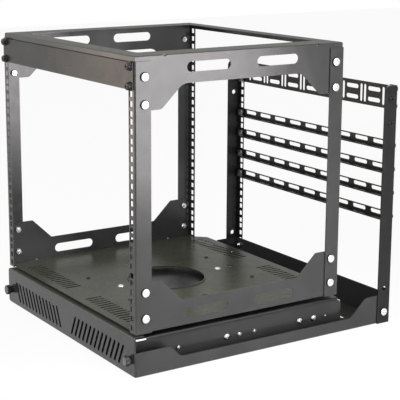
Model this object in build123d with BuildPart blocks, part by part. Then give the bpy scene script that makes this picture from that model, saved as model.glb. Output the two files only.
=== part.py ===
from build123d import *
import os

# Rotating open frame rack: a ten unit cage on a carriage that slides out of a
# low base pan and turns on a ring bearing, with a cable frame at the back.
# Millimetres. X runs to the right, Y to the back, Z up. The origin is the
# middle of the pan's underside.

# Rack standard
unit = 44.45
hole_low = 6.35
hole_step = 15.875
hole_inset = 8.8
square_hole = 9.5
panel_width = 482.6
panel_gap = 0.85
rail_flange = 20.0
post_side = 30.0

# Base pan
base_inset = 0.5
cable_space = 125.5
base_sheet = 2.0
pan_bend = 3.0
wall_front_height = 43.0
wall_low_height = 22.0
wall_rear_height = 54.5
wall_front_length = 67.0
wall_rear_length = 55.5
wall_front_slope = 21.0
wall_rear_slope = 35.0
wall_round = 14.0
lock_tab_width = 18.0
fixing_slot_length = 18.0
fixing_slot_width = 7.0
fixing_inset_x = 63.5
fixing_inset_y = 59.75

# Ball slides and the brackets that hold them
slide_height = 45.5
slide_bottom = 7.25
slide_thickness = 12.7
slide_start = 12.0
slide_end_space = 98.5
slide_sheet = 1.5
slide_gap = 0.3
bracket_inset = 20.5
bracket_sheet = 2.0
bracket_height = 53.0
bracket_foot = 18.0
bracket_bend = 3.0
bracket_corner = 10.0

# Tray, its rails and the front panel of the carriage
tray_inset = 1.5
tray_overhang = 3.0
tray_sheet = 2.0
tray_above_bracket = 12.5
tray_lip = 6.0
tray_bend = 2.5
tray_rail_sheet = 1.5
tray_rail_foot = 19.0
front_margin = 0.5
front_sheet = 2.0
front_gap = 1.0
front_bottom = 1.0
front_return = 19.0
front_corner = 6.0
front_bend = 1.8
louvre_count = 13
louvre_first = 29.3
louvre_from_side = 45.8
louvre_width = 6.0
louvre_length = 41.4
louvre_angle = 65.0
louvre_height = 29.3

# Thumb knobs
knob_inset = 13.5
knob_height = 28.5
knob_head_diameter = 18.0
knob_head_length = 5.5
knob_neck_diameter = 12.0
knob_neck_length = 2.5
knob_shank_diameter = 5.0
knob_shank_length = 9.0
knob_clearance = 0.5
knob_chamfer = 0.8

# Ring bearing
bearing_inner_radius = 98.0
bearing_outer_radius = 166.0
bearing_gap = 0.3
swing_gap = 5.0

# Cage
cage_margin = 3.7
cage_depth = 424.0
cage_units = 10
post_sheet = 2.0
post_bend = 2.5
post_above_units = 1.0
top_sheet = 1.5
top_above_post = 9.0
top_lip = 11.5
top_flange_side = 45.0
top_flange_front = 30.0
top_bend = 2.4
top_side_height = 49.0
top_corner_round = 3.0
gusset_drop = 39.0
gusset_flat = 48.7
gusset_slope = 41.0
gusset_round_low = 10.0
gusset_round_high = 22.0
rail_sheet = 1.5
rail_height = 45.0
rail_foot = 16.0
rail_bend = 2.4
rail_gusset_round = 3.0
hand_slot_length = 86.0
hand_slot_height = 17.0
hand_slot_spacing = 140.0
top_slot_below_top = 23.0
rail_slot_below_edge = 24.5
notch_radius = 3.5
notch_from_face = 57.5
notch_depth = 2.0
bolt_from_face = 18.0
bolt_hole_radius = 4.2
rail_bolt_above_bottom = 25.3
top_bolt_below_post_top = 24.6

# Floor plate of the cage
floor_sheet = 1.5
floor_clear = 0.5
floor_overhang = 19.0
floor_chamfer = 20.0
floor_opening_radius = 72.0
floor_collar_height = 1.5
floor_collar_width = 2.5
vent_count = 15
vent_first = 39.5
vent_from_side = 48.1
vent_from_edge = 33.0
vent_length = 33.0
vent_width = 5.0
index_hole_radius = 6.0
index_hole_x = 132.0
index_hole_y = 146.0

# Cable frame
cable_sheet = 2.0
cable_units = 9
cable_first_unit = 45.0
cable_above_units = 1.95
cable_corner = 11.0
cable_side_hole_radius = 4.5
cable_side_hole_low = 67.0
cable_side_hole_from_top = 24.1
lacing_sheet = 2.0
lacing_groups = 7
lacing_margin = 28.5
lacing_upright_gap = 10.2
lacing_upright_length = 34.0
lacing_upright_width = 7.5
lacing_cross_web = 4.05
lacing_cross_width = 8.0
lacing_cross_spacing = 20.0
bar_units = (6, 5, 4, 3)
bar_above_hole = 9.0
bar_below_hole = 7.0
bar_sheet = 2.0
bar_flange = 10.0
bar_bend = 2.4
bar_slots = 9
bar_margin = 14.05
bar_slot_web = 13.5
bar_slot_height = 7.5
bar_slot_above_hole = 3.0
bar_flange_slots = 20
bar_flange_margin = 14.1
bar_flange_slot_length = 10.0
bar_flange_slot_width = 4.0

# Filler panel in the cage's top unit
filler_sheet = 2.0
filler_slot_length = 10.0
filler_slot_width = 7.0

# Sizes and places worked out from these
panel_height = unit - panel_gap
hole_pitch_x = panel_width - 2 * hole_inset
hole_heights = (hole_low, hole_low + hole_step, hole_low + 2 * hole_step)
cage_width = panel_width + 2 * cage_margin
base_width = cage_width - 2 * base_inset
base_length = cage_depth + cable_space
fixing_spacing_x = base_width - 2 * fixing_inset_x
fixing_spacing_y = base_length - 2 * fixing_inset_y
slide_length = base_length - slide_start - slide_end_space
bracket_spacing = base_width - 2 * bracket_inset
tray_width = base_width - 2 * tray_inset
tray_length = front_gap + cage_depth + tray_overhang
tray_top = base_sheet + bracket_height + tray_above_bracket
front_width = cage_width + 2 * front_margin
knob_spacing = base_width - 2 * knob_inset
notch_spacing = cage_depth - 2 * notch_from_face
cable_width = base_width + 2 * cable_sheet
cable_height = cable_first_unit + unit * cable_units + cable_above_units
front_y = -base_length / 2
rear_y = front_y + base_length
wall_x = base_width / 2
cable_rear_y = rear_y + cable_sheet
cable_x = cable_width / 2
hole_x = hole_pitch_x / 2
knob_x = knob_spacing / 2
post_x = cage_width / 2
inside_x = post_x - post_sheet
turn_y = front_y + cage_depth / 2
cage_low_y = front_y + post_sheet
cage_high_y = front_y + cage_depth - post_sheet
panel_top = tray_top + front_sheet
cage_bottom = panel_top + swing_gap
floor_bottom = cage_bottom + rail_sheet
floor_top = floor_bottom + floor_sheet
post_top = floor_top + unit * cage_units + post_above_units
top_height = post_top + top_above_post
slide_out = bracket_spacing / 2 - bracket_sheet
slide_in = slide_out - slide_thickness
slide_step = slide_sheet + slide_gap
slide_middle_y = front_y + slide_start + slide_length / 2
slide_middle_z = slide_bottom + slide_height / 2
bearing_height = (floor_bottom - tray_top - bearing_gap) / 2
panel_back_y = front_y - front_gap
panel_face_y = panel_back_y - front_sheet
tray_rear_y = panel_back_y + tray_length
louvre_last = front_width / 2 - louvre_from_side
louvre_middle = (louvre_first + louvre_last) / 2
louvre_pitch = (louvre_last - louvre_first) / (louvre_count - 1)
vent_last = inside_x - vent_from_side
vent_middle = (vent_first + vent_last) / 2
vent_pitch = (vent_last - vent_first) / (vent_count - 1)
slot_rows = (turn_y - hand_slot_spacing / 2, turn_y + hand_slot_spacing / 2)
notch_rows = (turn_y - notch_spacing / 2, turn_y + notch_spacing / 2)
bolt_rows = (front_y + bolt_from_face, front_y + cage_depth - bolt_from_face)
bolt_heights = (
    cage_bottom + rail_bolt_above_bottom,
    cage_bottom + rail_bolt_above_bottom + unit,
    post_top - top_bolt_below_post_top - unit,
    post_top - top_bolt_below_post_top,
)
cable_side_holes = (
    cable_side_hole_low,
    cable_height - cable_side_hole_from_top - unit,
    cable_height - cable_side_hole_from_top,
)
lacing_group_pitch = (panel_width - 2 * lacing_margin) / lacing_groups
lacing_upright_spacing = lacing_group_pitch - lacing_upright_gap
lacing_cross_length = lacing_upright_spacing - lacing_upright_width - 2 * lacing_cross_web
bar_slot_pitch = (panel_width - 2 * bar_margin) / bar_slots
bar_slot_length = bar_slot_pitch - bar_slot_web
bar_flange_length = cable_width - 2 * (rail_flange + bar_bend)
bar_flange_slot_pitch = (bar_flange_length - 2 * bar_flange_margin) / bar_flange_slots


def rail_holes(first, units):
    """Centres of one right-hand rail's square holes, in X and Z."""
    return [(hole_x, first + unit * k + h) for k in range(units) for h in hole_heights]


def side_plate(edge, far_edge, gusset_edge, low_round, high_round):
    """Outline of a cage side plate in Y and Z: straight at far_edge, and at
    edge between two gussets that reach to gusset_edge."""
    flat = cage_low_y + gusset_flat
    slope = flat + gusset_slope
    with BuildLine() as outline:
        shaped = FilletPolyline(
            (cage_low_y, gusset_edge),
            (flat, gusset_edge),
            (slope, edge),
            (2 * turn_y - slope, edge),
            (2 * turn_y - flat, gusset_edge),
            (cage_high_y, gusset_edge),
            radius=(low_round, high_round, high_round, low_round),
        )
        Polyline(shaped @ 1, (cage_high_y, far_edge), (cage_low_y, far_edge), shaped @ 0)
    make_face(outline.edges())


os.makedirs("parts", exist_ok=True)

# Base pan: one folded sheet with low shaped walls. Its front wall is cut away
# to two tabs, which take the thumb screws.
with BuildPart() as base_pan:
    with BuildSketch(Plane.YZ.offset(-wall_x)):
        with BuildLine():
            wall_top = FilletPolyline(
                (front_y, wall_front_height),
                (front_y + wall_front_length, wall_front_height),
                (front_y + wall_front_length + wall_front_slope, wall_low_height),
                (rear_y - wall_rear_length - wall_rear_slope, wall_low_height),
                (rear_y - wall_rear_length, wall_rear_height),
                (rear_y, wall_rear_height),
                radius=wall_round,
            )
            Polyline(wall_top @ 1, (rear_y, 0), (front_y, 0), wall_top @ 0)
        make_face()
    extrude(amount=base_width)
    with BuildSketch(Plane.XY.offset(base_sheet)):
        Rectangle(base_width - 2 * base_sheet, base_length - 2 * base_sheet)
    extrude(amount=wall_rear_height, mode=Mode.SUBTRACT)
    with BuildSketch(Plane.XZ.offset(-front_y - base_sheet)):
        with Locations((0, base_sheet + wall_front_height / 2)):
            Rectangle(base_width - 2 * (base_sheet + lock_tab_width), wall_front_height)
        with Locations((-knob_x, knob_height), (knob_x, knob_height)):
            Circle(knob_shank_diameter / 2 + knob_clearance)
    extrude(amount=base_sheet, mode=Mode.SUBTRACT)
    with BuildSketch(Plane.XY):
        with GridLocations(fixing_spacing_x, fixing_spacing_y, 2, 2):
            SlotOverall(fixing_slot_length, fixing_slot_width)
    extrude(amount=base_sheet, mode=Mode.SUBTRACT)
    fillet(base_pan.edges().filter_by(Axis.Y).group_by(Axis.Z)[0], pan_bend)
base_pan.part.label = "base_pan"
export_step(base_pan.part, "parts/base_pan.step")

# Slide brackets: angles that stand on the pan's floor, foot outwards.
with BuildPart() as slide_bracket_right:
    with BuildSketch(Plane.XZ.offset(-front_y - slide_start)):
        with Locations((bracket_spacing / 2 - bracket_sheet, base_sheet)):
            Rectangle(bracket_sheet, bracket_height, align=(Align.MIN, Align.MIN))
            Rectangle(bracket_foot, bracket_sheet, align=(Align.MIN, Align.MIN))
    extrude(amount=-slide_length)
    bend = slide_bracket_right.edges().filter_by(Axis.Y).group_by(Axis.Z)[0]
    fillet(bend.sort_by(Axis.X)[0], bracket_bend)
    top_ends = slide_bracket_right.edges().filter_by(Axis.X).group_by(Axis.Z)[-1]
    fillet(top_ends.sort_by(Axis.Y)[-1], bracket_corner)
slide_bracket_right.part.label = "slide_bracket_right"
export_step(slide_bracket_right.part, "parts/slide_bracket_right.step")

with BuildPart() as slide_bracket_left:
    mirror(slide_bracket_right.part, about=Plane.YZ)
slide_bracket_left.part.label = "slide_bracket_left"
export_step(slide_bracket_left.part, "parts/slide_bracket_left.step")

# Ball slides: three channels, one inside the other. The outer and the middle
# one open towards the middle of the rack, the inner one away from it.
slide_plane = Plane.XZ.offset(-slide_middle_y - slide_length / 2)
with BuildPart() as slide_outer_right:
    with BuildSketch(slide_plane):
        with Locations((slide_out, slide_middle_z)):
            Rectangle(slide_thickness - slide_gap, slide_height, align=(Align.MAX, Align.CENTER))
        with Locations((slide_out - slide_sheet, slide_middle_z)):
            Rectangle(
                slide_thickness,
                slide_height - 2 * slide_sheet,
                align=(Align.MAX, Align.CENTER),
                mode=Mode.SUBTRACT,
            )
    extrude(amount=slide_length)
slide_outer_right.part.label = "slide_outer_right"
export_step(slide_outer_right.part, "parts/slide_outer_right.step")

with BuildPart() as slide_outer_left:
    mirror(slide_outer_right.part, about=Plane.YZ)
slide_outer_left.part.label = "slide_outer_left"
export_step(slide_outer_left.part, "parts/slide_outer_left.step")

with BuildPart() as slide_middle_right:
    with BuildSketch(slide_plane):
        with Locations((slide_out - slide_step, slide_middle_z)):
            Rectangle(
                slide_thickness - slide_step - slide_gap,
                slide_height - 2 * slide_step,
                align=(Align.MAX, Align.CENTER),
            )
        with Locations((slide_out - slide_step - slide_sheet, slide_middle_z)):
            Rectangle(
                slide_thickness,
                slide_height - 2 * slide_step - 2 * slide_sheet,
                align=(Align.MAX, Align.CENTER),
                mode=Mode.SUBTRACT,
            )
    extrude(amount=slide_length)
slide_middle_right.part.label = "slide_middle_right"
export_step(slide_middle_right.part, "parts/slide_middle_right.step")

with BuildPart() as slide_middle_left:
    mirror(slide_middle_right.part, about=Plane.YZ)
slide_middle_left.part.label = "slide_middle_left"
export_step(slide_middle_left.part, "parts/slide_middle_left.step")

with BuildPart() as slide_inner_right:
    with BuildSketch(slide_plane):
        with Locations((slide_in, slide_middle_z)):
            Rectangle(
                slide_thickness - 2 * slide_step,
                slide_height - 4 * slide_step,
                align=(Align.MIN, Align.CENTER),
            )
        with Locations((slide_in + slide_sheet, slide_middle_z)):
            Rectangle(
                slide_thickness,
                slide_height - 4 * slide_step - 2 * slide_sheet,
                align=(Align.MIN, Align.CENTER),
                mode=Mode.SUBTRACT,
            )
    extrude(amount=slide_length)
slide_inner_right.part.label = "slide_inner_right"
export_step(slide_inner_right.part, "parts/slide_inner_right.step")

with BuildPart() as slide_inner_left:
    mirror(slide_inner_right.part, about=Plane.YZ)
slide_inner_left.part.label = "slide_inner_left"
export_step(slide_inner_left.part, "parts/slide_inner_left.step")

# Tray rails: angles that carry the tray on the slides' inner members.
with BuildPart() as tray_rail_right:
    with BuildSketch(Plane.XZ.offset(-tray_rear_y)):
        with Locations((slide_in, tray_top - tray_sheet)):
            Rectangle(
                tray_rail_sheet,
                tray_top - tray_sheet - slide_bottom,
                align=(Align.MAX, Align.MAX),
            )
            Rectangle(tray_rail_foot, tray_rail_sheet, align=(Align.MAX, Align.MAX))
    extrude(amount=tray_rear_y - front_y - slide_start)
tray_rail_right.part.label = "tray_rail_right"
export_step(tray_rail_right.part, "parts/tray_rail_right.step")

with BuildPart() as tray_rail_left:
    mirror(tray_rail_right.part, about=Plane.YZ)
tray_rail_left.part.label = "tray_rail_left"
export_step(tray_rail_left.part, "parts/tray_rail_left.step")

# Tray: a flat plate with a short lip down each side.
with BuildPart() as tray:
    with BuildSketch(Plane.XZ.offset(-panel_back_y)):
        with Locations((0, tray_top)):
            Rectangle(tray_width, tray_lip, align=(Align.CENTER, Align.MAX))
        with Locations((0, tray_top - tray_sheet)):
            Rectangle(
                tray_width - 2 * tray_sheet,
                tray_lip,
                align=(Align.CENTER, Align.MAX),
                mode=Mode.SUBTRACT,
            )
    extrude(amount=-tray_length)
    fillet(tray.edges().filter_by(Axis.Y).group_by(Axis.Z)[-1], tray_bend)
tray.part.label = "tray"
export_step(tray.part, "parts/tray.step")

# Front panel: a face with leaning louvre slots and a return over the tray.
with BuildPart() as front_panel:
    with BuildSketch(Plane.XZ.offset(-panel_back_y)):
        with Locations((0, (front_bottom + panel_top) / 2)):
            RectangleRounded(front_width, panel_top - front_bottom, front_corner)
        with Locations((-knob_x, knob_height), (knob_x, knob_height)):
            Circle(knob_shank_diameter / 2 + knob_clearance, mode=Mode.SUBTRACT)
    extrude(amount=front_sheet)
    with BuildSketch(Plane.XZ.offset(-panel_back_y)):
        with Locations((0, panel_top)):
            Rectangle(
                front_width - 2 * front_corner, front_sheet, align=(Align.CENTER, Align.MAX)
            )
    extrude(amount=-front_return)
    with BuildSketch(Plane.XZ.offset(-panel_back_y)):
        for side, lean in ((1, louvre_angle), (-1, 180 - louvre_angle)):
            with Locations((side * louvre_middle, louvre_height)):
                with GridLocations(louvre_pitch, 1, louvre_count, 1):
                    SlotOverall(louvre_length, louvre_width, rotation=lean)
    extrude(amount=front_sheet, mode=Mode.SUBTRACT)
    fold = front_panel.edges().filter_by(Axis.X).group_by(Axis.Z)[-1]
    fillet(fold.sort_by(Axis.Y)[0], front_bend)
front_panel.part.label = "front_panel"
export_step(front_panel.part, "parts/front_panel.step")

# Thumb knobs: a round head and neck in front of the panel, and a shank that
# reaches through the panel into the pan's tab.
knob_plane = Plane(
    origin=(knob_x, panel_face_y - knob_clearance, knob_height), x_dir=(1, 0, 0), z_dir=(0, -1, 0)
)
with BuildPart() as thumb_knob_right:
    with BuildSketch(knob_plane):
        Circle(knob_neck_diameter / 2)
    extrude(amount=knob_neck_length)
    with BuildSketch(knob_plane.offset(knob_neck_length)):
        Circle(knob_head_diameter / 2)
    extrude(amount=knob_head_length)
    head_edges = thumb_knob_right.edges().filter_by(GeomType.CIRCLE)
    chamfer(head_edges.group_by(SortBy.RADIUS)[-1], knob_chamfer)
    with BuildSketch(knob_plane):
        Circle(knob_shank_diameter / 2)
    extrude(amount=-knob_shank_length)
thumb_knob_right.part.label = "thumb_knob_right"
export_step(thumb_knob_right.part, "parts/thumb_knob_right.step")

with BuildPart() as thumb_knob_left:
    mirror(thumb_knob_right.part, about=Plane.YZ)
thumb_knob_left.part.label = "thumb_knob_left"
export_step(thumb_knob_left.part, "parts/thumb_knob_left.step")

# Ring bearing: one ring fixed to the tray, one under the cage's floor plate.
with BuildPart() as bearing_lower:
    with BuildSketch(Plane.XY.offset(tray_top)):
        with Locations((0, turn_y)):
            Circle(bearing_outer_radius)
            Circle(bearing_inner_radius, mode=Mode.SUBTRACT)
    extrude(amount=bearing_height)
bearing_lower.part.label = "bearing_lower"
export_step(bearing_lower.part, "parts/bearing_lower.step")

with BuildPart() as bearing_upper:
    with BuildSketch(Plane.XY.offset(floor_bottom - bearing_height)):
        with Locations((0, turn_y)):
            Circle(bearing_outer_radius)
            Circle(bearing_inner_radius, mode=Mode.SUBTRACT)
    extrude(amount=bearing_height)
bearing_upper.part.label = "bearing_upper"
export_step(bearing_upper.part, "parts/bearing_upper.step")

# Cage posts: angles with square holes in the rail flange and bolt holes in
# the side flange.
with BuildPart() as post_front_right:
    with BuildSketch(Plane.XY.offset(cage_bottom)):
        with Locations((post_x, front_y)):
            Rectangle(rail_flange, post_sheet, align=(Align.MAX, Align.MIN))
            Rectangle(post_sheet, post_side, align=(Align.MAX, Align.MIN))
    extrude(amount=post_top - cage_bottom)
    corners = post_front_right.edges().filter_by(Axis.Z).group_by(Axis.Y)[0]
    fillet(corners.sort_by(Axis.X)[-1], post_bend)
    with BuildSketch(Plane.XZ.offset(-front_y - post_sheet)):
        with Locations(*rail_holes(floor_top, cage_units)):
            Rectangle(square_hole, square_hole)
    extrude(amount=post_sheet, mode=Mode.SUBTRACT)
    with BuildSketch(Plane.YZ.offset(inside_x)):
        with Locations(*[(front_y + bolt_from_face, h) for h in bolt_heights]):
            Circle(bolt_hole_radius)
    extrude(amount=post_sheet, mode=Mode.SUBTRACT)
post_front_right.part.label = "post_front_right"
export_step(post_front_right.part, "parts/post_front_right.step")

with BuildPart() as post_front_left:
    mirror(post_front_right.part, about=Plane.YZ)
post_front_left.part.label = "post_front_left"
export_step(post_front_left.part, "parts/post_front_left.step")

with BuildPart() as post_rear_right:
    mirror(post_front_right.part, about=Plane.XZ.offset(-turn_y))
post_rear_right.part.label = "post_rear_right"
export_step(post_rear_right.part, "parts/post_rear_right.step")

with BuildPart() as post_rear_left:
    mirror(post_rear_right.part, about=Plane.YZ)
post_rear_left.part.label = "post_rear_left"
export_step(post_rear_left.part, "parts/post_rear_left.step")

# Bottom rails: side plates with gussets at both ends and a foot turned in
# under the floor plate.
with BuildPart() as bottom_rail_right:
    with BuildSketch(Plane.YZ.offset(inside_x - rail_sheet)):
        side_plate(
            cage_bottom + rail_height,
            cage_bottom,
            cage_bottom + rail_height + gusset_drop,
            rail_gusset_round,
            rail_gusset_round,
        )
        with Locations(*[(y, cage_bottom + rail_height - rail_slot_below_edge) for y in slot_rows]):
            SlotOverall(hand_slot_length, hand_slot_height, mode=Mode.SUBTRACT)
        with Locations(*[(y, h) for y in bolt_rows for h in bolt_heights[:2]]):
            Circle(bolt_hole_radius, mode=Mode.SUBTRACT)
    extrude(amount=rail_sheet)
    with BuildSketch(Plane.XY.offset(cage_bottom)):
        with Locations((inside_x, turn_y)):
            Rectangle(rail_foot, cage_high_y - cage_low_y, align=(Align.MAX, Align.CENTER))
    extrude(amount=rail_sheet)
    fold = bottom_rail_right.edges().filter_by(Axis.Y).group_by(Axis.Z)[0]
    fillet(fold.sort_by(Axis.X)[-1], rail_bend)
    with BuildSketch(Plane.YZ.offset(inside_x - notch_depth)):
        with Locations(*[(y, cage_bottom) for y in notch_rows]):
            Circle(notch_radius)
    extrude(amount=notch_depth, mode=Mode.SUBTRACT)
bottom_rail_right.part.label = "bottom_rail_right"
export_step(bottom_rail_right.part, "parts/bottom_rail_right.step")

with BuildPart() as bottom_rail_left:
    mirror(bottom_rail_right.part, about=Plane.YZ)
bottom_rail_left.part.label = "bottom_rail_left"
export_step(bottom_rail_left.part, "parts/bottom_rail_left.step")

# Top frame: one folded piece, with side plates down inside the posts and a
# wide opening in its top.
with BuildPart() as top_frame:
    with BuildSketch(Plane.YZ.offset(-inside_x)):
        side_plate(
            top_height - top_side_height,
            top_height,
            top_height - top_side_height - gusset_drop,
            gusset_round_low,
            gusset_round_high,
        )
        with Locations(*[(y, top_height - top_slot_below_top) for y in slot_rows]):
            SlotOverall(hand_slot_length, hand_slot_height, mode=Mode.SUBTRACT)
        with Locations(*[(y, h) for y in bolt_rows for h in bolt_heights[2:]]):
            Circle(bolt_hole_radius, mode=Mode.SUBTRACT)
    extrude(amount=2 * inside_x)
    with BuildSketch(Plane.XY.offset(top_height - top_sheet)):
        with Locations((0, turn_y)):
            Rectangle(2 * (inside_x - top_sheet), cage_high_y - cage_low_y - 2 * top_sheet)
    extrude(amount=-top_side_height - gusset_drop, mode=Mode.SUBTRACT)
    with BuildSketch(Plane.XY.offset(top_height - top_lip)):
        with Locations((0, turn_y)):
            Rectangle(2 * (inside_x - top_sheet), cage_high_y - cage_low_y)
    extrude(amount=-top_side_height - gusset_drop, mode=Mode.SUBTRACT)
    with BuildSketch(Plane.XY.offset(top_height)):
        with Locations((0, turn_y)):
            RectangleRounded(
                2 * (inside_x - top_flange_side),
                cage_high_y - cage_low_y - 2 * top_flange_front,
                top_corner_round,
            )
    extrude(amount=-top_sheet, mode=Mode.SUBTRACT)
    rim = top_frame.faces().sort_by(Axis.Z)[-1].outer_wire().edges()
    fillet(rim, top_bend)
    for side in (-1, 1):
        with BuildSketch(Plane.YZ.offset(side * inside_x)):
            with Locations(*[(y, top_height) for y in notch_rows]):
                Circle(notch_radius)
        extrude(amount=-side * notch_depth, mode=Mode.SUBTRACT)
top_frame.part.label = "top_frame"
export_step(top_frame.part, "parts/top_frame.step")

# Floor plate: it lies on the rails' feet and reaches out behind the posts,
# between them, with its corners cut off.
with BuildPart() as floor_plate:
    with BuildSketch(Plane.XY.offset(floor_bottom)):
        with Locations((0, turn_y)):
            Rectangle(
                2 * (inside_x - rail_sheet - floor_clear),
                cage_high_y - cage_low_y - 2 * floor_clear,
            )
        with BuildLine():
            tongue_x = post_x - rail_flange - floor_clear
            tongue_y = front_y + cage_depth + floor_overhang
            Polyline(
                (-tongue_x, turn_y),
                (-tongue_x, tongue_y - floor_chamfer),
                (-tongue_x + floor_chamfer, tongue_y),
                (tongue_x - floor_chamfer, tongue_y),
                (tongue_x, tongue_y - floor_chamfer),
                (tongue_x, turn_y),
                close=True,
            )
        make_face()
    extrude(amount=floor_sheet)
    with BuildSketch(Plane.XY.offset(floor_top)):
        with Locations((0, turn_y)):
            Circle(floor_opening_radius + floor_collar_width)
    extrude(amount=floor_collar_height)
    with BuildSketch(Plane.XY.offset(floor_bottom)):
        with Locations((0, turn_y)):
            Circle(floor_opening_radius)
        with Locations((-index_hole_x, turn_y), (index_hole_x, turn_y), (0, turn_y + index_hole_y)):
            Circle(index_hole_radius)
    extrude(amount=floor_sheet + floor_collar_height, mode=Mode.SUBTRACT)
    with BuildSketch(Plane.XY.offset(floor_bottom)):
        for x in (-vent_middle, vent_middle):
            with Locations((x, front_y + vent_from_edge), (x, tongue_y - vent_from_edge)):
                with GridLocations(vent_pitch, 1, vent_count, 1):
                    SlotOverall(vent_length, vent_width, rotation=90)
    extrude(amount=floor_sheet, mode=Mode.SUBTRACT)
floor_plate.part.label = "floor_plate"
export_step(floor_plate.part, "parts/floor_plate.step")

# Filler panel: one unit high, over the cage's top unit.
filler_middle = floor_top + unit * (cage_units - 0.5)
with BuildPart() as filler_panel:
    with BuildSketch(Plane.XZ.offset(-front_y)):
        with Locations((0, filler_middle)):
            Rectangle(panel_width, panel_height)
            with GridLocations(hole_pitch_x, hole_heights[2] - hole_heights[0], 2, 2):
                SlotOverall(filler_slot_length, filler_slot_width, mode=Mode.SUBTRACT)
    extrude(amount=filler_sheet)
filler_panel.part.label = "filler_panel"
export_step(filler_panel.part, "parts/filler_panel.step")

# Cable posts: angles that stand outside the pan's rear corners.
with BuildPart() as cable_post_right:
    with BuildSketch(Plane.XY):
        with Locations((cable_x, cable_rear_y)):
            Rectangle(rail_flange, cable_sheet, align=(Align.MAX, Align.MAX))
            Rectangle(cable_sheet, post_side, align=(Align.MAX, Align.MAX))
    extrude(amount=cable_height)
    corners = cable_post_right.edges().filter_by(Axis.Z).group_by(Axis.Y)[-1]
    fillet(corners.sort_by(Axis.X)[-1], post_bend)
    top_ends = cable_post_right.edges().filter_by(Axis.X).group_by(Axis.Z)[-1]
    fillet(top_ends.sort_by(Axis.Y)[0], cable_corner)
    with BuildSketch(Plane.XZ.offset(-rear_y)):
        with Locations(*rail_holes(cable_first_unit, cable_units)):
            Rectangle(square_hole, square_hole)
    extrude(amount=-cable_sheet, mode=Mode.SUBTRACT)
    with BuildSketch(Plane.YZ.offset(wall_x)):
        with Locations(*[(cable_rear_y - post_side / 2, h) for h in cable_side_holes]):
            Circle(cable_side_hole_radius)
    extrude(amount=cable_sheet, mode=Mode.SUBTRACT)
cable_post_right.part.label = "cable_post_right"
export_step(cable_post_right.part, "parts/cable_post_right.step")

with BuildPart() as cable_post_left:
    mirror(cable_post_right.part, about=Plane.YZ)
cable_post_left.part.label = "cable_post_left"
export_step(cable_post_left.part, "parts/cable_post_left.step")

# Lacing panel: groups of two upright and two cross slots, in the top unit.
lacing_middle = cable_first_unit + unit * (cable_units - 0.5)
with BuildPart() as lacing_panel:
    with BuildSketch(Plane.XZ.offset(-cable_rear_y)):
        with Locations((0, lacing_middle)):
            Rectangle(panel_width, panel_height)
            with GridLocations(hole_pitch_x, hole_heights[2] - hole_heights[0], 2, 2):
                SlotOverall(filler_slot_length, filler_slot_width, mode=Mode.SUBTRACT)
            with GridLocations(lacing_group_pitch, 1, lacing_groups, 1):
                with GridLocations(lacing_upright_spacing, 1, 2, 1):
                    SlotOverall(
                        lacing_upright_length,
                        lacing_upright_width,
                        rotation=90,
                        mode=Mode.SUBTRACT,
                    )
                with GridLocations(1, lacing_cross_spacing, 1, 2):
                    SlotOverall(lacing_cross_length, lacing_cross_width, mode=Mode.SUBTRACT)
    extrude(amount=-lacing_sheet)
lacing_panel.part.label = "lacing_panel"
export_step(lacing_panel.part, "parts/lacing_panel.step")

# Lacer bars: narrow slotted angles, each on the middle holes of its unit,
# with a foot turned in between the posts.
bar_number = 0
for bar_unit in bar_units:
    bar_number += 1
    bar_level = cable_first_unit + unit * bar_unit + hole_heights[1]
    with BuildPart() as lacer_bar:
        with BuildSketch(Plane.XZ.offset(-cable_rear_y)):
            with Locations((0, bar_level - bar_below_hole)):
                Rectangle(
                    panel_width, bar_above_hole + bar_below_hole, align=(Align.CENTER, Align.MIN)
                )
            with Locations((0, bar_level)):
                with GridLocations(hole_pitch_x, 1, 2, 1):
                    Circle(filler_slot_width / 2, mode=Mode.SUBTRACT)
            with Locations((0, bar_level + bar_slot_above_hole)):
                with GridLocations(bar_slot_pitch, 1, bar_slots, 1):
                    SlotOverall(bar_slot_length, bar_slot_height, mode=Mode.SUBTRACT)
        extrude(amount=-bar_sheet)
        with BuildSketch(Plane.XY.offset(bar_level - bar_below_hole)):
            with Locations((0, cable_rear_y + bar_sheet)):
                Rectangle(
                    bar_flange_length,
                    bar_sheet + cable_sheet + bar_flange,
                    align=(Align.CENTER, Align.MAX),
                )
            with Locations((0, rear_y - bar_flange / 2)):
                with GridLocations(bar_flange_slot_pitch, 1, bar_flange_slots, 1):
                    SlotOverall(
                        bar_flange_slot_length, bar_flange_slot_width, mode=Mode.SUBTRACT
                    )
        extrude(amount=bar_sheet)
    lacer_bar.part.label = f"lacer_bar_{bar_number}"
    export_step(lacer_bar.part, f"parts/lacer_bar_{bar_number}.step")
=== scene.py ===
import bmesh
import bpy
import numpy as np
from mathutils import Matrix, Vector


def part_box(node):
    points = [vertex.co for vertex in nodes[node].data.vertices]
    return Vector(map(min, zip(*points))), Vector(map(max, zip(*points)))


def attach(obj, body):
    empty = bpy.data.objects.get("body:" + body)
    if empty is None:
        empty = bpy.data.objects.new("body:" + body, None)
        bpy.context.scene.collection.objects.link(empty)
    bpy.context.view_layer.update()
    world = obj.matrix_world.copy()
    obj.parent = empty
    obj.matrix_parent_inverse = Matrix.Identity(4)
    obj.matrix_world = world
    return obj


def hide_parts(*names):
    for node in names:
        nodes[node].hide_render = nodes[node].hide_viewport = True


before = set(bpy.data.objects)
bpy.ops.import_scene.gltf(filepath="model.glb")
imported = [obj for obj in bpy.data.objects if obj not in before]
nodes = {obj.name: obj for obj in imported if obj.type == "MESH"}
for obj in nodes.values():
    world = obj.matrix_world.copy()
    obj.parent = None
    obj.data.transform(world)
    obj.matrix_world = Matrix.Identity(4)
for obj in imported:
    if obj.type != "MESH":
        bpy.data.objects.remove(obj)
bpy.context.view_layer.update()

MM = 0.001
X, Y, Z = np.eye(3)
sides = ((1, "right"), (-1, "left"))


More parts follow.
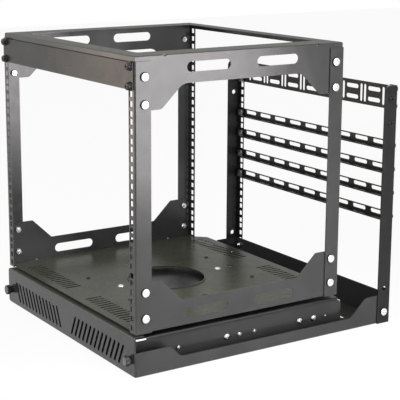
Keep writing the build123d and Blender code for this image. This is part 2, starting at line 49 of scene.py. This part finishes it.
# Places and sizes in metres, read from the frame where it holds them
def low(node):
    """The lowest corner of a node's box at rest."""
    return np.array(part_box(node)[0])


def high(node):
    """The highest corner of a node's box at rest."""
    return np.array(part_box(node)[1])


unit = 44.45 * MM
hole_rise = 15.875 * MM
hole_x = 232.5 * MM

front_y = low("post_front_right")[1]
back_y = high("post_rear_right")[1]
turn_y = (front_y + back_y) / 2
cage_x = high("post_front_right")[0]
cage_z = low("post_front_right")[2]
post_top_z = high("post_front_right")[2]
rail_sheet = 1.5 * MM
rail_inside_x = high("bottom_rail_right")[0] - rail_sheet
floor_sheet = 1.5 * MM
floor_top_z = low("floor_plate")[2] + floor_sheet

cable_x = high("cable_post_right")[0]
cable_front_y = low("cable_post_right")[1]
cable_back_y = high("cable_post_right")[1]
cable_top_z = high("cable_post_right")[2]
pan_back_y = high("base_pan")[1]
base_sheet = 2 * MM
bracket_sheet = 2 * MM
bracket_face_x = low("slide_bracket_right")[0] + bracket_sheet

frame_bolt_inset = 18 * MM
frame_bolt_above_foot = 25.3 * MM
frame_bolt_below_top = 24.6 * MM
frame_bolt_rows = (front_y + frame_bolt_inset, back_y - frame_bolt_inset)
frame_bolt_levels = (
    cage_z + frame_bolt_above_foot,
    cage_z + frame_bolt_above_foot + unit,
    post_top_z - frame_bolt_below_top - unit,
    post_top_z - frame_bolt_below_top,
)

cable_back_bolt_x = 231 * MM
cable_back_bolt_z = 40 * MM
cable_wall_bolt_inset = 15.5 * MM
cable_wall_bolt_z = 22 * MM
side_hole_below_top = 24.1 * MM


# Surfaces
def circle(count):
    """Unit circle: (cos a, sin a) for evenly spaced angles a."""
    a = np.linspace(0, 2 * np.pi, count, endpoint=False)
    return np.stack((np.cos(a), np.sin(a)), axis=1)


def soft_square(count, power=8):
    """Unit square with round corners: each point of the circle is scaled so
    that |x|^power + |y|^power is 1."""
    ring = circle(count)
    return ring / ((np.abs(ring) ** power).sum(axis=1) ** (1 / power))[:, None]


def knurled(count, ridges, depth):
    """Unit circle with ridges: radius 1 + depth * cos(ridges * a)."""
    a = np.arange(count) * 2 * np.pi / count
    return circle(count) * (1 + depth * np.cos(ridges * a))[:, None]


def carried(outline, profile, places, out, up=Z):
    """A profile carried round an outline, once at each place: the point of
    row i and column j is place + radius_i * outline_j + height_i * out, with
    the outline lying across the direction out. The profile is in millimetres."""
    across = np.cross(up, out)
    profile = np.asarray(profile, float) * MM
    flat = outline[:, :1] * across + outline[:, 1:] * np.cross(out, across)
    one = profile[:, 0, None, None] * flat + profile[:, 1, None, None] * out
    return np.asarray(places, float)[:, None, None, :] + one


def rounded_strip(middle, along, across, out):
    """A flat strip with round ends: rings of a soft square of power 8, scaled
    by a half length and a half width and moved from back to front along out.
    The three directions carry their sizes in millimetres."""
    ring = soft_square(32)
    rows = np.array([(0, -1), (1, -1), (1, 0.6), (0.97, 1), (0, 1)])
    flat = ring[:, :1] * along + ring[:, 1:] * across
    one = (rows[:, 0, None, None] * flat + rows[:, 1, None, None] * out) * MM
    return (np.asarray(middle, float) + one)[None]


def scaled(profile, wide, tall=1.0):
    """The profile with its radii and its heights multiplied."""
    return np.asarray(profile) * (wide, tall)


dome_radii = (3.6, 3, 2.5, 2, 1.5, 1.1, 0.8, 0.4, 0)


def domed(rim, height, bulge=0.02):
    """A screw head's profile: its rim, then a dome of height - bulge * r^2,
    whose rows lie close enough together for a cross recess."""
    return rim + [(r, height - bulge * r * r) for r in dome_radii if r < rim[-1][0]]


cross_reach, cross_width, cross_depth = 3.1, 0.75, 1.6


def cross_heads(places, out, profile, up=Z):
    """Round heads with a cross recess, one at each place: the points that lie
    within cross_width of one of two lines through the middle, and within
    cross_reach of it, move by cross_depth against the direction out."""
    heads = carried(round_head, profile, places, out, up)
    across = np.cross(up, out)
    rel = heads - np.asarray(places, float)[:, None, None, :]
    a, b = np.abs(rel @ across) / MM, np.abs(rel @ np.cross(out, across)) / MM
    in_cross = (np.minimum(a, b) < cross_width) & (np.maximum(a, b) < cross_reach)
    sunk = in_cross & (rel @ out > 0)
    return heads - sunk[..., None] * cross_depth * MM * out


crease_angle = 0.6


def piece(name, patches, finish, body):
    """Makes one mesh of all the patches: each is a stack of closed rings, and
    neighbouring rings are joined by quads. Rings of no size close the ends.
    Edges that turn by more than crease_angle, in radians, stay sharp."""
    points, faces, start = [], [], 0
    for patch in patches:
        copies, rows, columns, _ = patch.shape
        index = np.arange(copies * rows * columns).reshape(copies, rows, columns) + start
        turn = np.roll(index, -1, axis=2)
        quads = np.stack((index[:, :-1], turn[:, :-1], turn[:, 1:], index[:, 1:]), axis=-1)
        points.append(patch.reshape(-1, 3))
        faces.append(quads.reshape(-1, 4))
        start += copies * rows * columns
    points, faces = np.concatenate(points), np.concatenate(faces)
    mesh = bpy.data.meshes.new(name)
    mesh.from_pydata(points.tolist(), [], faces.tolist())
    shell = bmesh.new()
    shell.from_mesh(mesh)
    bmesh.ops.remove_doubles(shell, verts=shell.verts, dist=1e-6)
    bmesh.ops.recalc_face_normals(shell, faces=shell.faces)
    for edge in shell.edges:
        edge.smooth = len(edge.link_faces) == 2 and edge.calc_face_angle(0) < crease_angle
    shell.to_mesh(mesh)
    shell.free()
    mesh.polygons.foreach_set("use_smooth", np.full(len(mesh.polygons), True))
    obj = bpy.data.objects.new(name, mesh)
    bpy.context.scene.collection.objects.link(obj)
    mesh.materials.append(finish)
    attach(obj, body)
    return obj


# Finishes
def new_finish(name):
    """A material with its node tree and its shader."""
    material = bpy.data.materials.new(name)
    material.use_nodes = True
    tree = material.node_tree
    return material, tree, tree.nodes["Principled BSDF"]


def noise(tree, scale, detail=3.0):
    """Noise on Object coordinates, in marks per metre."""
    place = tree.nodes.new("ShaderNodeTexCoord")
    texture = tree.nodes.new("ShaderNodeTexNoise")
    texture.inputs["Scale"].default_value = scale
    texture.inputs["Detail"].default_value = detail
    tree.links.new(place.outputs["Object"], texture.inputs["Vector"])
    return texture.outputs["Fac"]


def mapped(tree, source, start, end):
    """Maps 0.35 to 0.65, where nearly all of a noise lies, onto start to end."""
    ramp = tree.nodes.new("ShaderNodeMapRange")
    ramp.inputs["From Min"].default_value = 0.35
    ramp.inputs["From Max"].default_value = 0.65
    ramp.inputs["To Min"].default_value = start
    ramp.inputs["To Max"].default_value = end
    tree.links.new(source, ramp.inputs["Value"])
    return ramp.outputs["Result"]


def between(tree, amount, first, second):
    """A colour between two: the first may also be the outcome of another mix."""
    mix = tree.nodes.new("ShaderNodeMix")
    mix.data_type = "RGBA"
    if isinstance(first, bpy.types.NodeSocket):
        tree.links.new(first, mix.inputs["A"])
    else:
        mix.inputs["A"].default_value = (*first, 1)
    mix.inputs["B"].default_value = (*second, 1)
    tree.links.new(amount, mix.inputs["Factor"])
    return mix.outputs["Result"]


def bumped(tree, source, strength, height):
    """Small relief from a texture: height is its depth in metres."""
    bump = tree.nodes.new("ShaderNodeBump")
    bump.inputs["Strength"].default_value = strength
    bump.inputs["Distance"].default_value = height
    tree.links.new(source, bump.inputs["Height"])
    return bump.outputs["Normal"]


def upward(tree):
    """Share of 0 to 1 by which a surface looks up, from its own normal."""
    place = tree.nodes.new("ShaderNodeTexCoord")
    split = tree.nodes.new("ShaderNodeSeparateXYZ")
    ramp = tree.nodes.new("ShaderNodeMapRange")
    ramp.inputs["From Min"].default_value = 0.6
    ramp.inputs["From Max"].default_value = 0.98
    tree.links.new(place.outputs["Normal"], split.inputs["Vector"])
    tree.links.new(split.outputs["Z"], ramp.inputs["Value"])
    return ramp.outputs["Result"]


def grey(value):
    """A neutral colour."""
    return (value, value, value)


def powder_coat(name, dark, light, smoothest, roughest, shine=0.4, painted_top_tone=None, top_roughness=0.66):
    """Baked powder coat: faint cloudy colour, a fine orange peel skin, and
    where a top tone is given, that colour with a duller gloss painted on what
    looks up: painted light where it is lighter than the coat, painted shade
    where it is darker."""
    material, tree, shader = new_finish(name)
    shader.inputs["Specular IOR Level"].default_value = shine
    clouds, gloss_patches, orange_peel = noise(tree, 14, 2), noise(tree, 45, 4), noise(tree, 700, 2)
    colour = between(tree, mapped(tree, clouds, 0, 1), dark, light)
    roughness = mapped(tree, gloss_patches, smoothest, roughest)
    if painted_top_tone:
        # Painted light and shade: the faces that look up take the top tone.
        top_share = upward(tree)
        colour = between(tree, top_share, colour, painted_top_tone)
        dull = tree.nodes.new("ShaderNodeMix")
        dull.inputs["B"].default_value = top_roughness
        tree.links.new(top_share, dull.inputs["Factor"])
        tree.links.new(roughness, dull.inputs["A"])
        roughness = dull.outputs["Result"]
    tree.links.new(colour, shader.inputs["Base Color"])
    tree.links.new(roughness, shader.inputs["Roughness"])
    tree.links.new(bumped(tree, orange_peel, 0.12, 0.0002), shader.inputs["Normal"])
    return material


def bright_metal(name, dark, light, smoothest, roughest):
    """Plated steel: even metal with faint cloudy stains."""
    material, tree, shader = new_finish(name)
    shader.inputs["Metallic"].default_value = 1
    stains, gloss_patches, grain = noise(tree, 120), noise(tree, 300, 4), noise(tree, 900, 2)
    colour = between(tree, mapped(tree, stains, 0, 1), dark, light)
    tree.links.new(colour, shader.inputs["Base Color"])
    tree.links.new(mapped(tree, gloss_patches, smoothest, roughest), shader.inputs["Roughness"])
    tree.links.new(bumped(tree, grain, 0.03, 0.0001), shader.inputs["Normal"])
    return material


# The cage's upward faces get a painted olive light in place of the light from above.
coat = powder_coat(
    "black powder coat", grey(0.027), grey(0.034), 0.19, 0.25, 0.5, painted_top_tone=(0.05, 0.051, 0.04)
)
# A darker copy of the black coat, as painted shade, for the tray, the cable posts and the lacing
# parts.
shaded_coat = powder_coat("shaded powder coat", grey(0.01), grey(0.015), 0.28, 0.36, 0.25)
# The pan and the slide brackets: their upward faces, such as the pan floor, get painted shade, near
# black and dull.
pan_coat_with_painted_shade = powder_coat(
    "pan powder coat with painted shade",
    grey(0.035),
    grey(0.042),
    0.19,
    0.26,
    0.3,
    painted_top_tone=(0.008, 0.009, 0.007),
    top_roughness=0.9,
)
# A darker copy of the black coat, as painted shade on the filler panel.
shaded_filler_coat = powder_coat("filler panel powder coat, shaded copy", grey(0.013), grey(0.019), 0.2, 0.28, 0.3)
# The floor plate: the black coat in an olive tone, as painted light from above, with little shine.
olive_lit_floor_coat = powder_coat(
    "floor plate powder coat with painted olive light", (0.046, 0.048, 0.034), (0.052, 0.054, 0.039), 0.24, 0.3, 0.06
)
zinc = bright_metal("zinc plate", (0.6, 0.61, 0.62), (0.66, 0.67, 0.68), 0.24, 0.3)
spring_steel = bright_metal("spring steel", (0.3, 0.31, 0.32), (0.4, 0.41, 0.42), 0.3, 0.42)
black_screw = powder_coat("blackened screw", grey(0.008), grey(0.014), 0.2, 0.32)
bright_head = bright_metal("nickel plate", (0.88, 0.88, 0.87), (0.95, 0.95, 0.94), 0.1, 0.2)
knob_black = powder_coat("blackened knob", grey(0.012), grey(0.02), 0.25, 0.35)
# A light grey copy of the knob's black: a painted highlight on each knob's front disc.
knob_highlight_face = powder_coat("knob face with painted highlight", grey(0.13), grey(0.15), 0.25, 0.35)
# Black rings round the bolt heads, as painted shade at their rims.
shade_black = powder_coat("black painted shade ring", grey(0.01), grey(0.016), 0.4, 0.5, 0.2)
# White for the tray's corner strips: nylon, and painted highlight on the tray's corners.
nylon = powder_coat("white nylon", (0.62, 0.62, 0.6), (0.7, 0.7, 0.68), 0.4, 0.5)

for node, obj in nodes.items():
    finish = coat
    if "bracket" in node or node == "base_pan":
        finish = pan_coat_with_painted_shade
    elif node.startswith(("slide_", "bearing")):
        finish = zinc
    elif node == "floor_plate":
        finish = olive_lit_floor_coat
    elif node == "filler_panel":
        finish = shaded_filler_coat
    # These parts take the darker copy of the coat, as painted shade.
    elif node.startswith(("cable_post", "lac", "tray")):
        finish = shaded_coat
    obj.data.materials.clear()
    obj.data.materials.append(finish)

# Outlines, and profiles of (radius, height) in millimetres from back to front
round_head = circle(40)
hexagon = circle(6)
square = soft_square(32)
knurl = knurled(120, 30, 0.02)
pan_screw = domed(
    [(0, -0.2), (6, -0.2), (6.2, 0), (6.2, 1.2), (6, 2.2), (5.4, 3.2), (4.4, 3.9)], 4.3
)
bolt_head = domed(
    [(0, -0.2), (7, -0.2), (7, 2.3), (6.8, 2.7), (6.3, 2.95), (5, 3.1), (4, 3.2)], 3.3, 0.004
)
bolt_shade_ring = [(6.9, -0.1), (7.6, -0.1), (7.8, 0.1), (7.7, 1.9), (7.5, 2.2), (6.9, 2.2), (6.9, -0.1)]
washer = [(0, -0.2), (7.3, -0.2), (7.5, 0), (7.5, 1.1), (6.9, 2.3), (6.2, 2.5)]
washer_screw = domed(washer + [(6.2, 5), (5.8, 6.1), (4.9, 6.9)], 7.3)
plug_screw = domed([(0, -0.2), (4.8, -0.2), (5, 0), (5, 0.9), (4.5, 1.7), (3.6, 2.1)], 2.3)
low_screw = domed(
    [(0, -0.2), (6.6, -0.2), (6.8, 0), (6.8, 0.6), (6.4, 1.5), (5.4, 2.4), (4.4, 2.9)], 3.3
)
nut = [(0, -0.1), (5.4, -0.1), (6.1, 0.6), (6.1, 3.6), (5.4, 4.4), (3.2, 4.4), (3.2, 4.0), (0, 4.0)]
thread_end = [(0, 0), (2.9, 0), (2.9, 7), (2.3, 7.6), (0, 7.6)]
cage_nut_front = [(0, 0), (4.4, 0), (4.6, 0.3), (4.6, 2.2), (6.4, 2.2), (6.6, 2.5)]
cage_nut = cage_nut_front + [(6.6, 7.2), (6.2, 7.6), (2.8, 7.6), (2.8, 5), (0, 5)]
cage_nut_sunk = 0.1 * MM

# Frame bolts, each in a black ring of painted shade, with nuts inside the frame
for side, name in sides:
    out = side * X
    outer = [(side * cage_x, y, z) for y in frame_bolt_rows for z in frame_bolt_levels]
    inner = [(side * rail_inside_x, y, z) for y in frame_bolt_rows for z in frame_bolt_levels]
    shade_rings = [carried(round_head, bolt_shade_ring, outer, out)]
    nuts = [carried(hexagon, nut, inner, -out), carried(round_head, thread_end, inner, -out)]
    piece(f"frame_bolts_{name}", [cross_heads(outer, out, bolt_head)], bright_head, "cage")
    piece(f"frame_bolt_shade_rings_{name}", shade_rings, shade_black, "cage")
    piece(f"frame_nuts_{name}", nuts, zinc, "cage")

# Filler panel screws, with cage nuts behind the rail
filler_y = low("filler_panel")[1]
filler_z = (low("filler_panel")[2] + high("filler_panel")[2]) / 2
filler_places = [
    (x, filler_y, filler_z + dz) for x in (-hole_x, hole_x) for dz in (-hole_rise, hole_rise)
]
filler_heads = [cross_heads(filler_places, -Y, washer_screw)]
piece("filler_screws", filler_heads, black_screw, "cage")
filler_nut_places = [(x, front_y + cage_nut_sunk, z) for x, _, z in filler_places]
filler_nuts = [carried(square, cage_nut, filler_nut_places, Y)]
piece("filler_nuts", filler_nuts, spring_steel, "cage")

# Screws of the lacer bars and the lacing panel, with cage nuts before the rail
bar_hole_rise = 7 * MM
bar_levels = [low(f"lacer_bar_{n}")[2] + bar_hole_rise for n in (1, 2, 3, 4)]
lacing_z = (low("lacing_panel")[2] + high("lacing_panel")[2]) / 2
cable_levels = bar_levels + [lacing_z - hole_rise, lacing_z + hole_rise]
cable_places = [(x, high("lacing_panel")[1], z) for x in (-hole_x, hole_x) for z in cable_levels]
cable_heads = [cross_heads(cable_places, Y, washer_screw)]
piece("cable_screws", cable_heads, black_screw, "base")
cable_nut_places = [(x, cable_back_y - cage_nut_sunk, z) for x, _, z in cable_places]
cable_nuts = [carried(square, cage_nut, cable_nut_places, -Y)]
piece("cable_nuts", cable_nuts, spring_steel, "base")

# Bolts that hold the cable posts to the pan
for side, name in sides:
    out = side * X
    wall_y = cable_back_y - cable_wall_bolt_inset
    wall = [(side * cable_x, wall_y, cable_wall_bolt_z)]
    wall_inside = [(side * (cable_x - 2 * base_sheet), wall_y, cable_wall_bolt_z)]
    back = [(side * cable_back_bolt_x, cable_back_y, cable_back_bolt_z)]
    back_inside = [(side * cable_back_bolt_x, pan_back_y - base_sheet, cable_back_bolt_z)]
    bolts = [
        cross_heads(wall, out, bolt_head),
        cross_heads(back, Y, bolt_head),
        carried(hexagon, nut, back_inside, -Y),
        carried(round_head, thread_end, back_inside, -Y),
        carried(hexagon, nut, wall_inside, -out),
    ]
    # Black rings of painted shade round the bolt heads.
    shade_rings = [
        carried(round_head, bolt_shade_ring, wall, out),
        carried(round_head, bolt_shade_ring, back, Y),
    ]
    piece(f"cable_post_bolts_{name}", bolts, bright_head, "base")
    piece(f"cable_post_shade_rings_{name}", shade_rings, shade_black, "base")

# Screws of the slides, on the outer face of their brackets: each one's
# distance from the front in millimetres, and its size
bracket_screws = (
    (95, 0.55),
    (195, 0.95),
    (222, 0.7),
    (254, 0.5),
    (355, 0.9),
    (387, 0.9),
    (414, 0.35),
)
bracket_screw_z = 30 * MM
for side, name in sides:
    heads = [
        cross_heads(
            [(side * bracket_face_x, front_y + distance * MM, bracket_screw_z)],
            side * X,
            scaled(low_screw, size),
        )
        for distance, size in bracket_screws
    ]
    piece(f"slide_screws_{name}", heads, zinc, "base")

# Screws and bolts in the floor plate, at distances in millimetres from the
# middle plane and from the line on which the cage turns
floor_screw_places = [
    (x * MM, turn_y + y * MM, floor_top_z) for x in (-73.5, 82.5) for y in (-128, 140)
]
floor_heads = [cross_heads(floor_screw_places, Z, scaled(pan_screw, 0.62, 0.5), Y)]
piece("floor_screws", floor_heads, black_screw, "cage")
floor_bolt_places = [(4.5 * MM, turn_y + y * MM, floor_top_z) for y in (-102, 114)]
floor_bolts = [cross_heads(floor_bolt_places, Z, scaled(low_screw, 0.85, 0.9), Y)]
piece("floor_bolts", floor_bolts, zinc, "cage")

# Screws in the upper side holes of the right cable post
side_hole_y = (cable_front_y + cable_back_y) / 2
upper_side_hole_z = cable_top_z - side_hole_below_top
plug_places = [(cable_x, side_hole_y, z) for z in (upper_side_hole_z - unit, upper_side_hole_z)]
plug_heads = [cross_heads(plug_places, X, plug_screw)]
piece("side_hole_screws", plug_heads, black_screw, "base")

# White strips at the tray's front corners, on its lip and on its top: nylon glide strips, and
# painted highlight on those corners
tray_x, _, tray_top_z = high("tray")
tray_front_y = low("tray")[1]
lip_strip_offset = np.array((0.3, 11, -2.8)) * MM
top_strip_x = 210 * MM
top_strip_offset = np.array((0, 14, 0.1)) * MM
for side, name in sides:
    lip_middle = np.array((tray_x, tray_front_y, tray_top_z)) + lip_strip_offset
    top_middle = np.array((top_strip_x, tray_front_y, tray_top_z)) + top_strip_offset
    strips = [
        rounded_strip(lip_middle * (side, 1, 1), Y * 10, Z * 1.3, side * X * 0.4),
        rounded_strip(top_middle * (side, 1, 1), X * 14, Y * 3.2, Z * 0.25),
    ]
    piece(f"glide_strips_{name}", strips, nylon, "carriage")

# Thumb knobs with knurled heads, and a light disc on each face as painted highlight
knob_neck = [(0, 0), (6.8, 0), (7, 0.2), (7, 4.6), (0, 4.6)]
knob_rim = [(0, 4.5), (8.4, 4.5), (9, 5.1), (9, 10.8), (8.4, 11.4)]
knob_head = knob_rim + [(7.4, 11.5), (7, 11), (0, 10.9)]
knob_disc = [(0, 10.8), (7.2, 10.8), (7.2, 11.1), (6.9, 11.25), (0, 11.3)]
knob_shank = [(0, -8.9), (2.0, -8.9), (2.5, -8.3), (2.5, 0.1), (0, 0.1)]
knob_shank_length = 9 * MM
for side, name in sides:
    node = f"thumb_knob_{name}"
    knob_x, _, knob_z = (low(node) + high(node)) / 2
    place = [(knob_x, high(node)[1] - knob_shank_length, knob_z)]
    turned = [
        carried(round_head, knob_neck, place, -Y),
        carried(knurl, knob_head, place, -Y),
        carried(round_head, knob_shank, place, -Y),
    ]
    knob = piece(f"knob_{name}", turned, knob_black, node)
    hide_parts(node)
    disc = [carried(round_head, knob_disc, place, -Y)]
    piece(f"knob_highlight_face_{name}", disc, knob_highlight_face, node)


# Floor and background
def ray_is(tree, *kinds):
    """1 for a ray of one of the kinds and 0 for any other: their maximum."""
    rays = tree.nodes.new("ShaderNodeLightPath")
    share = rays.outputs[kinds[0]]
    for kind in kinds[1:]:
        larger = tree.nodes.new("ShaderNodeMath")
        larger.operation = "MAXIMUM"
        tree.links.new(share, larger.inputs[0])
        tree.links.new(rays.outputs[kind], larger.inputs[1])
        share = larger.outputs[0]
    return share


floor_half = 6.0
floor_glow = 0.93
floor_signs = ((-1, -1), (1, -1), (1, 1), (-1, 1))
floor_corners = [(x * floor_half, y * floor_half, 0) for x, y in floor_signs]
floor_mesh = bpy.data.meshes.new("studio_floor")
floor_mesh.from_pydata(floor_corners, [], [(0, 1, 2, 3)])
studio_floor = bpy.data.objects.new("studio_floor", floor_mesh)
bpy.context.scene.collection.objects.link(studio_floor)
floor_finish, floor_tree, floor_shader = new_finish("studio floor")
floor_shader.inputs["Base Color"].default_value = (0.82, 0.82, 0.82, 1)
floor_shader.inputs["Roughness"].default_value = 0.9
glow = floor_tree.nodes.new("ShaderNodeEmission")
amount = floor_tree.nodes.new("ShaderNodeMath")
amount.operation = "MULTIPLY"
amount.inputs[1].default_value = floor_glow
seen = ray_is(floor_tree, "Is Camera Ray", "Is Glossy Ray", "Is Transmission Ray")
floor_tree.links.new(seen, amount.inputs[0])
floor_mix = floor_tree.nodes.new("ShaderNodeMixShader")
floor_tree.links.new(amount.outputs[0], floor_mix.inputs["Fac"])
floor_tree.links.new(floor_shader.outputs["BSDF"], floor_mix.inputs[1])
floor_tree.links.new(glow.outputs["Emission"], floor_mix.inputs[2])
floor_output = floor_tree.nodes["Material Output"]
floor_tree.links.new(floor_mix.outputs["Shader"], floor_output.inputs["Surface"])
floor_mesh.materials.append(floor_finish)

world = bpy.data.worlds.new("studio")
bpy.context.scene.world = world
world.use_nodes = True
sky = world.node_tree
soft = sky.nodes["Background"]
soft.inputs["Color"].default_value = (0.8, 0.82, 0.84, 1)
soft.inputs["Strength"].default_value = 0.42
white = sky.nodes.new("ShaderNodeBackground")
white.inputs["Color"].default_value = (1, 1, 1, 1)
sky_mix = sky.nodes.new("ShaderNodeMixShader")
seen = ray_is(sky, "Is Camera Ray", "Is Transmission Ray", "Is Glossy Ray")
sky.links.new(seen, sky_mix.inputs["Fac"])
sky.links.new(soft.outputs["Background"], sky_mix.inputs[1])
sky.links.new(white.outputs["Background"], sky_mix.inputs[2])
sky.links.new(sky_mix.outputs["Shader"], sky.nodes["World Output"].inputs["Surface"])


# Lights
def lamp(name, place, target, size, power, colour=(1, 1, 1), beam=180):
    """A soft lamp of a width and a height, in metres, that faces its target.
    A beam under 180 degrees is that of a grid before the lamp."""
    light = bpy.data.lights.new(name, "AREA")
    light.shape = "RECTANGLE"
    light.size, light.size_y = size
    light.energy, light.color, light.spread = power, colour, np.radians(beam)
    obj = bpy.data.objects.new(name, light)
    toward = np.asarray(target, float) - np.asarray(place, float)
    toward /= np.linalg.norm(toward)
    side = np.cross(toward, Z)
    side /= np.linalg.norm(side)
    basis = np.eye(4)
    basis[:3, :4] = np.stack((side, np.cross(side, toward), -toward, place), axis=1)
    obj.matrix_world = Matrix(basis.tolist())
    bpy.context.scene.collection.objects.link(obj)


middle = ((low("base_pan") + high("top_frame")) / 2).tolist()
lamp("key", (0.6, -2.1, 2.1), middle, (1.6, 1.6), 34)
lamp("side", (1.2, 0.3, 0.46), (0.25, -0.25, 0.38), (0.64, 0.8), 2.5, (1, 0.95, 0.97), 70)
lamp("left", (-0.8, -1.0, 0.36), (0.15, -0.28, 0.45), (0.45, 0.6), 0.3, (1, 0.8, 0.62), 70)
lamp("top", (-0.5, 0.2, 2.6), middle, (1.8, 1.8), 10)
lamp("floor", (1.15, -0.05, 1.0), (0.95, -0.05, 0), (0.8, 1.2), 9, beam=60)

# Camera, fitted to the rack's corners and rows of holes in the photograph. The
# shifts put the lens axis off the picture's middle.
camera_data = bpy.data.cameras.new("camera")
camera_data.sensor_width = 36
camera_data.lens = 108.25
camera_data.shift_x = 0.1125
camera_data.shift_y = -0.075
camera_data.clip_end = 50
camera = bpy.data.objects.new("camera", camera_data)
camera_right = np.array((0.522876, 0.852406, -0.002205))
camera_up = np.array((-0.171601, 0.107795, 0.979251))
camera_place = np.array((1.8571, -1.2257, 0.7384))
pose = np.eye(4)
pose[:3, :4] = np.stack(
    (camera_right, camera_up, np.cross(camera_right, camera_up), camera_place), axis=1
)
camera.matrix_world = Matrix(pose.tolist())
bpy.context.scene.collection.objects.link(camera)
bpy.context.scene.camera = camera
bpy.context.scene.view_settings.view_transform = "Standard"
